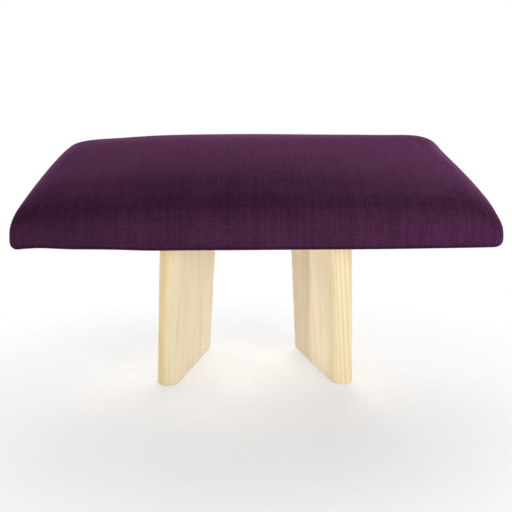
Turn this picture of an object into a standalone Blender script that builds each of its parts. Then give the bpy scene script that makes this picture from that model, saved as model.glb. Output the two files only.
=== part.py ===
"""Meditation bench: a padded, cloth-covered seat board on two narrow-set wooden legs.

The sitter faces -Y, over the low edge of the tilted seat. +X is across the seat and +Z is up.
The origin is on the floor, under the middle of the bench. Every length is in metres.
"""

import math

import bmesh
import bpy
from mathutils import Matrix, Vector

# The seat, measured over its cloth
SEAT_WIDTH = 0.406
SEAT_DEPTH = 0.240
SEAT_HEIGHT = 0.180
SEAT_TILT = math.radians(14.7)
LONG_SIDE_BOW = 0.0030
SHORT_SIDE_BOW = 0.0025
CORNER_RADIUS = 0.0090
CORNER_SOFTENING = 0.55

# What the seat is built up from, from the floor side upwards
CLOTH_THICKNESS = 0.0010
BOARD_THICKNESS = 0.0120
FOAM_EDGE_THICKNESS = 0.0197
WADDING_THICKNESS = 0.0030
CROWN_HEIGHT = 0.0115
SHOULDER_REACH = 0.034
TURN_RADIUS = 0.0065
HEM_WIDTH = 0.030
HEM_CORNER_RADIUS = 0.0020
BOARD_EASE = 0.0030

# The legs, two boards with half-round edges that stand closer together behind
LEG_WIDTH = 0.141
LEG_THICKNESS = 0.022
LEG_OFFSET = 0.0612
LEG_SETBACK = 0.0110
LEG_TOE = math.radians(13.3)
LEG_SPLAY = math.radians(3.75)
HOUSING_DEPTH = 0.0040
FOOT_EASE = 0.0008

# Countersunk screws, driven through the board into the end grain of the legs
SCREWS_PER_LEG = 3
SCREW_EDGE_CLEARANCE = 0.0255
SCREW_LENGTH = 0.045
SCREW_SHANK_RADIUS = 0.00225
SCREW_HEAD_RADIUS = 0.0042
SCREW_HEAD_DEPTH = 0.0030
SCREW_TIP_LENGTH = 0.0050
SCREW_SINK = 0.0008

# Staples that hold the turned-under cloth
STAPLE_CROWN = 0.0100
STAPLE_PRONG = 0.0070
STAPLE_WIRE_THICKNESS = 0.0007
STAPLE_WIRE_WIDTH = 0.0012
LEAST_STAPLE_PITCH = 0.045
STAPLE_CORNER_CLEARANCE = 0.030

# The gaps left between hard pieces that touch, and between the soft layers
GAP = 0.0003
LAYER_GAP = 0.0005

# How finely round shapes are divided, and from what angle an edge is eased or shown sharp
CORNER_STEPS = 3
LONG_SIDE_POINTS = 5
SHORT_SIDE_POINTS = 3
SHOULDER_FACINGS = [math.radians(angle) for angle in (20.0, 40.0, 60.0, 76.0, 90.0)]
CROWN_SHARES = (0.45, 0.90)
LARGEST_CROWN_ROUNDING = 0.8
HALF_ROUND_STEPS = 10
SCREW_SIDES = 14
EASE_SEGMENTS = 2
BOARD_EDGE_ANGLE = math.radians(60)
FOOT_EDGE_ANGLE = math.radians(40)
SMOOTH_SOFT = math.radians(75)
SMOOTH_HARD = math.radians(30)
WELD_DISTANCE = 1e-6
SAW_TOLERANCE = 1e-7
LEVEL_FACING = 0.9

# Heights in the seat's own frame, where zero is the underside of the cloth
BOARD_BOTTOM = CLOTH_THICKNESS + GAP
BOARD_TOP = BOARD_BOTTOM + BOARD_THICKNESS
FOAM_BOTTOM = BOARD_TOP + GAP
SHOULDER_TOP = FOAM_BOTTOM + FOAM_EDGE_THICKNESS + WADDING_THICKNESS + 2 * LAYER_GAP + CLOTH_THICKNESS
SHOULDER_RISE = SHOULDER_TOP - BOARD_TOP

# How deep the outer face of each layer lies under the outer face of the cloth
CLOTH_DEPTH = 0.0
WADDING_DEPTH = CLOTH_THICKNESS + LAYER_GAP
CORE_DEPTH = WADDING_DEPTH + WADDING_THICKNESS + LAYER_GAP

HALF_WIDTH = SEAT_WIDTH / 2 - SHORT_SIDE_BOW
HALF_DEPTH = SEAT_DEPTH / 2 - LONG_SIDE_BOW

SEAT_FRAME = Matrix.Translation((0, 0, SEAT_HEIGHT)) @ Matrix.Rotation(SEAT_TILT, 4, "X")


def clear_scene():
    """Removes whatever the open file holds, so that the bench stands alone."""
    for old in list(bpy.data.objects):
        bpy.data.objects.remove(old, do_unlink=True)


def new_collection(name):
    collection = bpy.data.collections.new(name)
    bpy.context.scene.collection.children.link(collection)
    return collection


def material(name, colour, roughness, metallic=0.0):
    """A plain Principled material with that linear colour."""
    made = bpy.data.materials.new(name)
    made.use_nodes = True
    shader = made.node_tree.nodes["Principled BSDF"]
    shader.inputs["Base Color"].default_value = (*colour, 1.0)
    shader.inputs["Roughness"].default_value = roughness
    shader.inputs["Metallic"].default_value = metallic
    return made


def add_part(name, mesh, finish, frame, smooth_below=None):
    """Puts a mesh into the bench as a named part, placed by a frame in the seat or on the floor."""
    part = bpy.data.objects.new(name, mesh)
    bench.objects.link(part)
    part.parent = stand
    part.matrix_local = frame
    if not mesh.materials:
        mesh.materials.append(finish)
    if smooth_below is not None:
        mesh.shade_smooth()
        mesh.set_sharp_from_angle(angle=smooth_below)
    return part


def add_cutter(name, mesh, frame):
    cutter = bpy.data.objects.new(name, mesh)
    cutters.objects.link(cutter)
    cutter.parent = stand
    cutter.matrix_local = frame
    cutter.hide_render = True
    cutter.display_type = "WIRE"
    return cutter


def cut(part, cutter):
    boolean = part.modifiers.new("cut_" + cutter.name, "BOOLEAN")
    boolean.operation = "DIFFERENCE"
    boolean.object = cutter


def ease(part, width, above):
    """Rounds over the edges that turn through more than an angle."""
    bevel = part.modifiers.new("ease", "BEVEL")
    bevel.width = width
    bevel.segments = EASE_SEGMENTS
    bevel.limit_method = "ANGLE"
    bevel.angle_limit = above


def thicken_inwards(part, thickness):
    solidify = part.modifiers.new("thickness", "SOLIDIFY")
    solidify.thickness = thickness
    solidify.offset = -1.0
    solidify.use_even_offset = True


def mesh_from_outline(name, outline, low, high):
    """A flat outline filled and extruded from low to high, as a closed mesh."""
    curve = bpy.data.curves.new(name, "CURVE")
    curve.dimensions = "2D"
    curve.fill_mode = "BOTH"
    curve.extrude = (high - low) / 2
    spline = curve.splines.new("POLY")
    spline.points.add(len(outline) - 1)
    for point, (x, y) in zip(spline.points, outline):
        point.co = (x, y, 0.0, 1.0)
    spline.use_cyclic_u = True
    holder = bpy.data.objects.new(name, curve)
    bpy.context.scene.collection.objects.link(holder)
    evaluated = holder.evaluated_get(bpy.context.evaluated_depsgraph_get())
    mesh = bpy.data.meshes.new_from_object(evaluated)
    bpy.data.objects.remove(holder)
    bpy.data.curves.remove(curve)
    mesh.name = name
    bm = bmesh.new()
    bm.from_mesh(mesh)
    bmesh.ops.remove_doubles(bm, verts=bm.verts, dist=WELD_DISTANCE)
    bmesh.ops.translate(bm, verts=bm.verts, vec=(0, 0, (low + high) / 2))
    bmesh.ops.recalc_face_normals(bm, faces=bm.faces)
    for up in (1, -1):
        cap = [face for face in bm.faces if face.normal.z * up > LEVEL_FACING]
        bmesh.ops.dissolve_faces(bm, faces=cap)
    bm.to_mesh(mesh)
    bm.free()
    return mesh


def seat_outline(inset, radius):
    """Points round the seat, drawn in from its outermost outline, with softly bowed sides."""
    corner_x = HALF_WIDTH - inset - radius
    corner_y = HALF_DEPTH - inset - radius
    corners = [(corner_x, corner_y), (-corner_x, corner_y), (-corner_x, -corner_y), (corner_x, -corner_y)]
    side_points = [LONG_SIDE_POINTS, SHORT_SIDE_POINTS, LONG_SIDE_POINTS, SHORT_SIDE_POINTS]
    straight = []
    for quarter, centre in enumerate(corners):
        for step in range(CORNER_STEPS + 1):
            angle = math.pi / 2 * (quarter + step / CORNER_STEPS)
            straight.append(Vector(centre) + radius * Vector((math.cos(angle), math.sin(angle))))
        end = straight[-1]
        next_angle = math.pi / 2 * (quarter + 1)
        start_next = Vector(corners[(quarter + 1) % 4])
        start_next += radius * Vector((math.cos(next_angle), math.sin(next_angle)))
        for step in range(1, side_points[quarter] + 1):
            straight.append(end.lerp(start_next, step / (side_points[quarter] + 1)))
    bowed = []
    for x, y in straight:
        along_short = 1 - (y / HALF_DEPTH) ** 2
        along_long = 1 - (x / HALF_WIDTH) ** 2
        bowed.append((
            x * (1 + SHORT_SIDE_BOW / HALF_WIDTH * along_short),
            y * (1 + LONG_SIDE_BOW / HALF_DEPTH * along_long),
        ))
    return bowed


def crown(x, y):
    """How far the middle of the seat stands above its shoulder."""
    return CROWN_HEIGHT * (1 - (2 * x / SEAT_WIDTH) ** 2) * (1 - (2 * y / SEAT_DEPTH) ** 2)


def level_ring(inset, radius, height):
    return [(x, y, height) for x, y in seat_outline(inset, radius)]


def turn_ring(angle):
    """Ring on the rounded lower edge, where the cloth turns under: 0 is underneath, 90 degrees upright."""
    inset = TURN_RADIUS * (1 - math.sin(angle))
    return level_ring(inset, CORNER_RADIUS - inset, TURN_RADIUS * (1 - math.cos(angle)))


def shoulder_ring(facing, depth):
    """Ring where the shoulder faces that angle above level, square below the cloth's face by depth."""
    along = math.atan2(SHOULDER_RISE * math.sin(facing), SHOULDER_REACH * math.cos(facing))
    reach = SHOULDER_REACH * (1 - math.cos(along))
    drawn_in = depth * math.cos(facing)
    height = BOARD_TOP + SHOULDER_RISE * math.sin(along) - depth * math.sin(facing)
    radius = CORNER_RADIUS + CORNER_SOFTENING * reach - drawn_in
    return [(x, y, height + crown(x, y)) for x, y in seat_outline(reach + drawn_in, radius)]


def top_rings(depth):
    """The shoulder and the crowned top of a layer, from its upright side to the middle."""
    rings = [shoulder_ring(facing, depth) for facing in SHOULDER_FACINGS]
    shoulder_radius = CORNER_RADIUS + CORNER_SOFTENING * SHOULDER_REACH
    for share in CROWN_SHARES:
        inset = SHOULDER_REACH + share * (HALF_DEPTH - SHOULDER_REACH)
        radius = min(shoulder_radius, LARGEST_CROWN_ROUNDING * (HALF_DEPTH - inset))
        outline = seat_outline(inset, radius)
        rings.append([(x, y, SHOULDER_TOP - depth + crown(x, y)) for x, y in outline])
    return rings


def close_loop(bm, loop, corners):
    """Fills a ring and ties each point of its long sides to the one straight across, so that it stays smooth."""
    bmesh.ops.contextual_create(bm, geom=loop)
    for index in range(1, 2 * CORNER_STEPS + LONG_SIDE_POINTS + 1):
        opposite = len(corners) - 1 - SHORT_SIDE_POINTS - index
        bmesh.ops.connect_verts(bm, verts=[corners[index], corners[opposite]])


def lofted(name, rings, close_bottom):
    """A skin through rings of points, closed over the last ring and, if asked, over the first."""
    bm = bmesh.new()
    corners = [[bm.verts.new(point) for point in ring] for ring in rings]
    loops = [[bm.edges.new((ring[i - 1], ring[i])) for i in range(len(ring))] for ring in corners]
    for lower, upper in zip(loops, loops[1:]):
        bmesh.ops.bridge_loops(bm, edges=lower + upper)
    close_loop(bm, loops[-1], corners[-1])
    if close_bottom:
        close_loop(bm, loops[0], corners[0])
    bmesh.ops.recalc_face_normals(bm, faces=bm.faces)
    mesh = bpy.data.meshes.new(name)
    bm.to_mesh(mesh)
    bm.free()
    return mesh


def make_fabric_cover():
    """The cloth: hem under the board, turned up round its edge, over the side, shoulder and crown."""
    rings = [level_ring(HEM_WIDTH, HEM_CORNER_RADIUS, 0.0)]
    rings += [turn_ring(angle) for angle in (0.0, math.pi / 4, math.pi / 2)]
    rings.append(level_ring(CLOTH_DEPTH, CORNER_RADIUS, BOARD_TOP))
    rings += top_rings(CLOTH_DEPTH)
    cover = add_part("fabric_cover", lofted("fabric_cover", rings, False), plum_cloth, SEAT_FRAME, SMOOTH_SOFT)
    thicken_inwards(cover, CLOTH_THICKNESS)
    return cover


def make_wadding():
    """The soft wadding between foam and cloth, down the side of the board to where the cloth turns under."""
    radius = CORNER_RADIUS - WADDING_DEPTH
    rings = [level_ring(WADDING_DEPTH, radius, TURN_RADIUS), level_ring(WADDING_DEPTH, radius, BOARD_TOP)]
    rings += top_rings(WADDING_DEPTH)
    wadding = add_part("wadding", lofted("wadding", rings, False), white_wadding, SEAT_FRAME, SMOOTH_SOFT)
    thicken_inwards(wadding, WADDING_THICKNESS)


def make_foam_pad():
    rings = [level_ring(CORE_DEPTH, CORNER_RADIUS - CORE_DEPTH, FOAM_BOTTOM)]
    rings += top_rings(CORE_DEPTH)
    add_part("foam_pad", lofted("foam_pad", rings, True), cream_foam, SEAT_FRAME, SMOOTH_SOFT)


def make_seat_board():
    outline = seat_outline(CORE_DEPTH, CORNER_RADIUS - CORE_DEPTH)
    mesh = mesh_from_outline("seat_board", outline, BOARD_BOTTOM, BOARD_TOP)
    board = add_part("seat_board", mesh, board_wood, SEAT_FRAME, SMOOTH_HARD)
    ease(board, BOARD_EASE, BOARD_EDGE_ANGLE)
    return board


def leg_frame(side):
    """Where a leg meets the underside of the board: turned to its toe, then leaned to its splay."""
    place = Matrix.Translation((side * LEG_OFFSET, LEG_SETBACK, BOARD_BOTTOM))
    toe = Matrix.Rotation(side * LEG_TOE, 4, "Z")
    splay = Matrix.Rotation(-side * LEG_SPLAY, 4, "Y")
    return SEAT_FRAME @ place @ toe @ splay


def leg_outline(clearance):
    """A leg's section: a board with half-round edges, as a half circle at each end."""
    radius = LEG_THICKNESS / 2 + clearance
    centre = (LEG_WIDTH - LEG_THICKNESS) / 2
    points = []
    for end, start_angle in ((centre, 0.0), (-centre, math.pi)):
        for step in range(HALF_ROUND_STEPS + 1):
            angle = start_angle + math.pi * step / HALF_ROUND_STEPS
            points.append((radius * math.cos(angle), end + radius * math.sin(angle)))
    return points


def trim(mesh, point, outward):
    """Saws a mesh off at a plane and closes the cut."""
    bm = bmesh.new()
    bm.from_mesh(mesh)
    everything = bm.verts[:] + bm.edges[:] + bm.faces[:]
    sawn = bmesh.ops.bisect_plane(
        bm, geom=everything, plane_co=point, plane_no=outward, dist=SAW_TOLERANCE, clear_outer=True
    )
    rim = [item for item in sawn["geom_cut"] if isinstance(item, bmesh.types.BMEdge)]
    bmesh.ops.contextual_create(bm, geom=rim)
    bmesh.ops.recalc_face_normals(bm, faces=bm.faces)
    bm.to_mesh(mesh)
    bm.free()


def leg_blank(name, side, clearance):
    """A leg's section, long enough to be sawn at the top, level with the bottom of its housing."""
    reach = SEAT_HEIGHT + SEAT_DEPTH
    mesh = mesh_from_outline(name, leg_outline(clearance), -reach, LEG_THICKNESS)
    to_leg = leg_frame(side).inverted()
    top = SEAT_FRAME @ Vector((0, 0, BOARD_BOTTOM + HOUSING_DEPTH - GAP + clearance))
    up = SEAT_FRAME.to_3x3() @ Vector((0, 0, 1))
    trim(mesh, to_leg @ top, to_leg.to_3x3() @ up)
    return mesh


def make_leg(name, side):
    """One leg: square to the seat from front to back, and sawn off level at the floor."""
    mesh = leg_blank(name, side, 0.0)
    to_leg = leg_frame(side).inverted()
    trim(mesh, to_leg @ Vector((0, 0, 0)), to_leg.to_3x3() @ Vector((0, 0, -1)))
    leg = add_part(name, mesh, pine, leg_frame(side), SMOOTH_HARD)
    ease(leg, FOOT_EASE, FOOT_EDGE_ANGLE)
    return leg


def turned_mesh(name, profile):
    """A mesh turned about Z from a profile that starts on the axis at the top and ends on it below."""
    mesh = bpy.data.meshes.new(name)
    points = [(radius, 0.0, height) for radius, height in profile]
    mesh.from_pydata(points, [(i, i + 1) for i in range(len(points) - 1)], [])
    holder = bpy.data.objects.new(name, mesh)
    bpy.context.scene.collection.objects.link(holder)
    spin = holder.modifiers.new("spin", "SCREW")
    spin.steps = SCREW_SIDES
    spin.render_steps = SCREW_SIDES
    spin.use_merge_vertices = True
    spin.merge_threshold = WELD_DISTANCE
    evaluated = holder.evaluated_get(bpy.context.evaluated_depsgraph_get())
    solid = bpy.data.meshes.new_from_object(evaluated)
    bpy.data.objects.remove(holder)
    solid.name = name
    bm = bmesh.new()
    bm.from_mesh(solid)
    bmesh.ops.remove_doubles(bm, verts=bm.verts, dist=WELD_DISTANCE)
    bmesh.ops.recalc_face_normals(bm, faces=bm.faces)
    bm.to_mesh(solid)
    bm.free()
    return solid


def screw_profile():
    """A countersunk wood screw, its head's top at zero."""
    return [
        (0.0, 0.0),
        (SCREW_HEAD_RADIUS, 0.0),
        (SCREW_SHANK_RADIUS, -SCREW_HEAD_DEPTH),
        (SCREW_SHANK_RADIUS, SCREW_TIP_LENGTH - SCREW_LENGTH),
        (0.0, -SCREW_LENGTH),
    ]


def screw_hole_profile():
    """The hole that a screw sits in, open above its head."""
    above = SCREW_SINK + BOARD_THICKNESS
    return [
        (0.0, above),
        (SCREW_HEAD_RADIUS + GAP, above),
        (SCREW_HEAD_RADIUS + GAP, -GAP),
        (SCREW_SHANK_RADIUS + GAP, -SCREW_HEAD_DEPTH - GAP),
        (SCREW_SHANK_RADIUS + GAP, SCREW_TIP_LENGTH - SCREW_LENGTH),
        (0.0, -SCREW_LENGTH - GAP),
    ]


def fasten_leg(name, side, leg, board):
    """Screws one leg to the board, along the leg's own length, and cuts their holes."""
    screw_mesh = turned_mesh("leg_screw", screw_profile())
    hole_mesh = turned_mesh("leg_screw_hole", screw_hole_profile())
    head_height = BOARD_THICKNESS / math.cos(LEG_SPLAY) - SCREW_SINK
    room = LEG_WIDTH - 2 * SCREW_EDGE_CLEARANCE
    for index in range(SCREWS_PER_LEG):
        along = (index / (SCREWS_PER_LEG - 1) - 0.5) * room
        frame = leg_frame(side) @ Matrix.Translation((0, along, head_height))
        hole = add_cutter(f"{name}_screw_hole_{index + 1}", hole_mesh, frame)
        cut(leg, hole)
        cut(board, hole)
        add_part(f"{name}_screw_{index + 1}", screw_mesh, zinc_steel, frame, SMOOTH_HARD)


def staple_outline():
    """A staple lying with its crown below zero and its two prongs up, as one bent strip."""
    outer = STAPLE_CROWN / 2
    inner = outer - STAPLE_WIRE_THICKNESS
    below = -GAP - STAPLE_WIRE_THICKNESS
    return [
        (-outer, below), (outer, below), (outer, STAPLE_PRONG), (inner, STAPLE_PRONG),
        (inner, -GAP), (-inner, -GAP), (-inner, STAPLE_PRONG), (-outer, STAPLE_PRONG),
    ]


def staple_places():
    """Position and turn of each staple, spread evenly along the middle of the flat hem on the four sides."""
    inset = (TURN_RADIUS + HEM_WIDTH) / 2
    places = []
    for half_length, half_across, quarter in ((HALF_WIDTH, HALF_DEPTH, 0), (HALF_DEPTH, HALF_WIDTH, 1)):
        room = 2 * (half_length - STAPLE_CORNER_CLEARANCE)
        gaps = int(room / LEAST_STAPLE_PITCH)
        for facing in (0, 2):
            turn = Matrix.Rotation(math.pi / 2 * (quarter + facing), 4, "Z")
            for index in range(gaps + 1):
                along = (index / gaps - 0.5) * room
                places.append(turn @ Matrix.Translation((along, inset - half_across, 0)))
    return places


def staple_cover(cover, board):
    """Staples the hem to the board, and cuts the two holes that each staple makes."""
    half_wire = STAPLE_WIRE_WIDTH / 2
    staple_mesh = mesh_from_outline("staple", staple_outline(), -half_wire, half_wire)
    upright = Matrix.Rotation(math.pi / 2, 4, "X")
    staple_mesh.transform(upright)
    hole_size = (STAPLE_WIRE_THICKNESS + 2 * GAP, STAPLE_WIRE_WIDTH + 2 * GAP, STAPLE_PRONG + 2 * GAP)
    prong_offset = (STAPLE_CROWN - STAPLE_WIRE_THICKNESS) / 2
    bm = bmesh.new()
    for index, place in enumerate(staple_places()):
        for side in (-1, 1):
            middle = Matrix.Translation((side * prong_offset, 0, STAPLE_PRONG / 2))
            box = place @ middle @ Matrix.Diagonal((*hole_size, 1.0))
            bmesh.ops.create_cube(bm, size=1.0, matrix=box)
        add_part(f"staple_{index + 1:02d}", staple_mesh, zinc_steel, SEAT_FRAME @ place)
    hole_mesh = bpy.data.meshes.new("staple_holes")
    bm.to_mesh(hole_mesh)
    bm.free()
    holes = add_cutter("staple_holes", hole_mesh, SEAT_FRAME)
    cut(cover, holes)
    cut(board, holes)


def house_leg(name, side, board):
    """Cuts the shallow housing in the underside of the board that takes the top of a leg."""
    cut(board, add_cutter(name + "_housing", leg_blank(name + "_housing", side, GAP), leg_frame(side)))


def centre_on_origin():
    """Moves the stand so that the bench's box is centred over the origin from front to back."""
    graph = bpy.context.evaluated_depsgraph_get()
    reach = []
    for part in bench.objects:
        if part.type == "MESH":
            evaluated = part.evaluated_get(graph)
            reach += [(evaluated.matrix_world @ vertex.co).y for vertex in evaluated.data.vertices]
    stand.location.y = -(min(reach) + max(reach)) / 2


clear_scene()
bench = new_collection("meditation_bench")
cutters = new_collection("meditation_bench_cutters")
stand = bpy.data.objects.new("stand", None)
bench.objects.link(stand)

plum_cloth = material("plum_cloth", (0.072, 0.017, 0.055), 0.95)
white_wadding = material("white_wadding", (0.85, 0.85, 0.83), 1.0)
cream_foam = material("cream_foam", (0.75, 0.68, 0.42), 0.95)
board_wood = material("board_wood", (0.72, 0.55, 0.34), 0.6)
pine = material("pine", (0.84, 0.70, 0.47), 0.5)
zinc_steel = material("zinc_steel", (0.60, 0.60, 0.58), 0.35, 1.0)

fabric_cover = make_fabric_cover()
make_wadding()
make_foam_pad()
seat_board = make_seat_board()
for leg_name, leg_side in (("left_leg", -1), ("right_leg", 1)):
    house_leg(leg_name, leg_side, seat_board)
    fasten_leg(leg_name, leg_side, make_leg(leg_name, leg_side), seat_board)
staple_cover(fabric_cover, seat_board)
centre_on_origin()
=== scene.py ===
# %% [markdown]
# # A meditation bench
#
# This lesson dresses a kneeling bench: a tilted, padded seat in plum cloth on two pale pine boards. A
# packed engineering model already fixes every size, so we load it first. Its hard pieces stay and get
# better finishes. Its soft pieces and its legs are only simple solids, so we build finer ones over them.

# %% Load the bench
import math

import bpy
import numpy as np
from mathutils import Euler, Matrix, Vector


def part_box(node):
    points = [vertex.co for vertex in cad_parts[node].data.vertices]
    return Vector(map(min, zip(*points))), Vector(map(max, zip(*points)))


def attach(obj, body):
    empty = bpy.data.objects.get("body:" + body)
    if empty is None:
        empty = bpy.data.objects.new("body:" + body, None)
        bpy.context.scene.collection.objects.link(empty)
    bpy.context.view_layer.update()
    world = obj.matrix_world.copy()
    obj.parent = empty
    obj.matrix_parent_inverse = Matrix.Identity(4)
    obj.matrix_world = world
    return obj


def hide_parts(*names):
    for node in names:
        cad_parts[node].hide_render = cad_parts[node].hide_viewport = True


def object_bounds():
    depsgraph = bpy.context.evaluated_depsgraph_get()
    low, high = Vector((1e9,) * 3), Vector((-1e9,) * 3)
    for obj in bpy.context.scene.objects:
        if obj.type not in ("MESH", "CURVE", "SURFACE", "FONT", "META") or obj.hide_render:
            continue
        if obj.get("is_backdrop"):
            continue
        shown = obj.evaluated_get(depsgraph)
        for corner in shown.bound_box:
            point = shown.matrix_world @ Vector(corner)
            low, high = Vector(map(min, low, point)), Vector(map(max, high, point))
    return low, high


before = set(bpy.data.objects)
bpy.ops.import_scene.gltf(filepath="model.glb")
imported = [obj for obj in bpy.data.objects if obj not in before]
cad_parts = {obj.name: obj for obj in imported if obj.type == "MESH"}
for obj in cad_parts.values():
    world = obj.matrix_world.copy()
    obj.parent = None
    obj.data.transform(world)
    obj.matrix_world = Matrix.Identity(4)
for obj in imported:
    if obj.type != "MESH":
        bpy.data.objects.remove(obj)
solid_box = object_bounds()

MM = 0.001
print("pieces in the model:", len(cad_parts))
print("its size in mm:", [round(side / MM, 1) for side in solid_box[1] - solid_box[0]])

# %% [markdown]
# ## The camera
#
# The photograph was taken from a little above the seat, in front of it and almost in line with its
# middle. We could place a camera by eye, but the seat's outline and the leg's four lines fix it to about a
# millimetre, so its place and its two small turns are written here as measured.

# %% Place the camera
CAMERA_PLACE = Vector((-0.0155, -0.6867, 0.2397))
CAMERA_DOWN = math.radians(9.37)
CAMERA_RIGHT = math.radians(1.38)
CAMERA_LENS = 50.0

camera_data = bpy.data.cameras.new("camera")
camera_data.lens = CAMERA_LENS
camera = bpy.data.objects.new("camera", camera_data)
camera.location = CAMERA_PLACE
camera.rotation_euler = Euler((math.pi / 2 - CAMERA_DOWN, 0.0, -CAMERA_RIGHT))
bpy.context.scene.collection.objects.link(camera)
bpy.context.scene.camera = camera
print("camera height in mm:", round(CAMERA_PLACE.z / MM))

# %% [markdown]
# ## How the seat lies
#
# The seat slopes down towards the sitter's knees. It is easiest to shape the cushion lying level and
# then lean it. The slope needs no second measurement: the big flat faces of the seat board carry it, and
# the box round the old cover, taken along that slope, gives the width, depth and height of the cushion.

# %% Measure the seat in the model
def rows_of(items, attribute):
    """A value with three parts that each item has, such as a vertex's place, one per row."""
    values = np.empty(len(items) * 3)
    items.foreach_get(attribute, values)
    return values.reshape(-1, 3)


board_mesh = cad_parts["seat_board"].data
flat_face = max(board_mesh.polygons, key=lambda face: face.area)
flat_normal = flat_face.normal * math.copysign(1.0, flat_face.normal.z)
seat_tilt = math.atan2(-flat_normal.y, flat_normal.z)
lean = Matrix.Rotation(seat_tilt, 4, "X")

cover_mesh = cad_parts["fabric_cover"].data
level_cover = rows_of(cover_mesh.vertices, "co") @ np.array(lean.to_3x3())
cover_low = level_cover.min(axis=0)
cover_high = level_cover.max(axis=0)
seat_width, seat_depth, seat_thickness = cover_high - cover_low
seat_middle = Vector((0.0, (cover_low[1] + cover_high[1]) / 2, cover_low[2]))
seat_frame = Matrix.Translation(lean @ seat_middle) @ lean

to_seat = seat_frame.inverted()
level_board = rows_of(board_mesh.vertices, "co") @ np.array(to_seat.to_3x3()).T
board_heights = level_board[:, 2] + to_seat.translation.z
board_bottom = float(board_heights.min())
board_top = float(board_heights.max())
print("tilt in degrees:", round(math.degrees(seat_tilt), 2))
print("seat in mm:", [round(size / MM, 1) for size in (seat_width, seat_depth, seat_thickness)])
print("board above the underside, in mm:", round(board_bottom / MM, 1), "to", round(board_top / MM, 1))

# %% [markdown]
# ## The outline of the cushion
#
# Seen from above the cushion is a rectangle with small round corners, and its sides swell outwards by a
# few millimetres because the padding pushes the cloth. Every ring of the cushion is that outline, drawn
# in by some amount. The two halves of a corner belong to the two sides beside it, so each ring has the
# same number of points on each side, and the middle of the top can be filled with a tidy grid.

# %% Draw the outline
CORNER_RADIUS = 9.0 * MM
CORNER_SOFTENING = 0.55
LONG_SIDE_BOW = 3.0 * MM
SHORT_SIDE_BOW = 2.5 * MM
CORNER_STEPS = 4
LONG_STEPS = 62
SHORT_STEPS = 36

half_width = seat_width / 2 - SHORT_SIDE_BOW
half_depth = seat_depth / 2 - LONG_SIDE_BOW
SIDE_STEPS = [LONG_STEPS, SHORT_STEPS, LONG_STEPS, SHORT_STEPS]
SIDE_COUNTS = [steps + 2 * CORNER_STEPS for steps in SIDE_STEPS]
ring_count = sum(SIDE_COUNTS)


def bow_out(points):
    """Swells a straight-sided outline, most at the middle of each side."""
    x, y = points[:, 0], points[:, 1]
    swollen_x = x * (1 + SHORT_SIDE_BOW / half_width * (1 - (y / half_depth) ** 2))
    swollen_y = y * (1 + LONG_SIDE_BOW / half_depth * (1 - (x / half_width) ** 2))
    return np.column_stack((swollen_x, swollen_y))


def towards(angle):
    """A step of length one at an angle, seen from above."""
    return np.array((math.cos(angle), math.sin(angle)))


def outline(inset, radius):
    """Points round the cushion, drawn in by inset: front side first, then right, back and left."""
    centre_x = half_width - inset - radius
    centre_y = half_depth - inset - radius
    centres = [(-centre_x, -centre_y), (centre_x, -centre_y), (centre_x, centre_y), (-centre_x, centre_y)]
    points = []
    for side, steps in enumerate(SIDE_STEPS):
        start, end = np.array(centres[side]), np.array(centres[(side + 1) % 4])
        square_out = math.radians(270 + 90 * side)
        outward = radius * towards(square_out)
        for step in range(CORNER_STEPS):
            angle = square_out - math.pi / 4 * (1 - step / CORNER_STEPS)
            points.append(start + radius * towards(angle))
        for step in range(steps):
            points.append(start + outward + (end - start) * step / steps)
        for step in range(CORNER_STEPS):
            angle = square_out + math.pi / 4 * step / CORNER_STEPS
            points.append(end + radius * towards(angle))
    return bow_out(np.array(points))


print("points in a ring:", ring_count, "of them on the front:", SIDE_COUNTS[0])

# %% [markdown]
# ## The side view of the cushion
#
# From the middle outwards the cloth runs over a low crown, turns down over a soft shoulder, passes the
# edge of the board, turns under it and lies flat as a hem for the staples. A curve for each stretch gives
# the rings their inset and height. The shoulder is about a quarter of an ellipse, wider than it is high,
# because wadding over foam rounds off that way. Along the front the cloth is drawn tighter over the edge
# of the foam, so there the quarter is squarer: the powers of its sine and cosine are lower.

# %% Shape the rings from the shoulder to the hem
CROWN_HEIGHT = 11.5 * MM
SHOULDER_REACH = 34.0 * MM
TURN_RADIUS = 5.5 * MM
HEM_WIDTH = 30.0 * MM
HEM_CORNER_RADIUS = 2.0 * MM
SOFT_POWER = 1.0
FIRM_POWER = 0.74
FIRM_FADE_POINTS = 16
SHOULDER_STEPS = 12
SIDE_RING_STEPS = 2
TURN_STEPS = 4
HEM_STEPS = 5

shoulder_rise = seat_thickness - CROWN_HEIGHT - board_top


def crown(x, y):
    """How far the middle of the seat stands above its shoulder."""
    return CROWN_HEIGHT * (1 - (2 * x / seat_width) ** 2) * (1 - (2 * y / seat_depth) ** 2)


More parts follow.
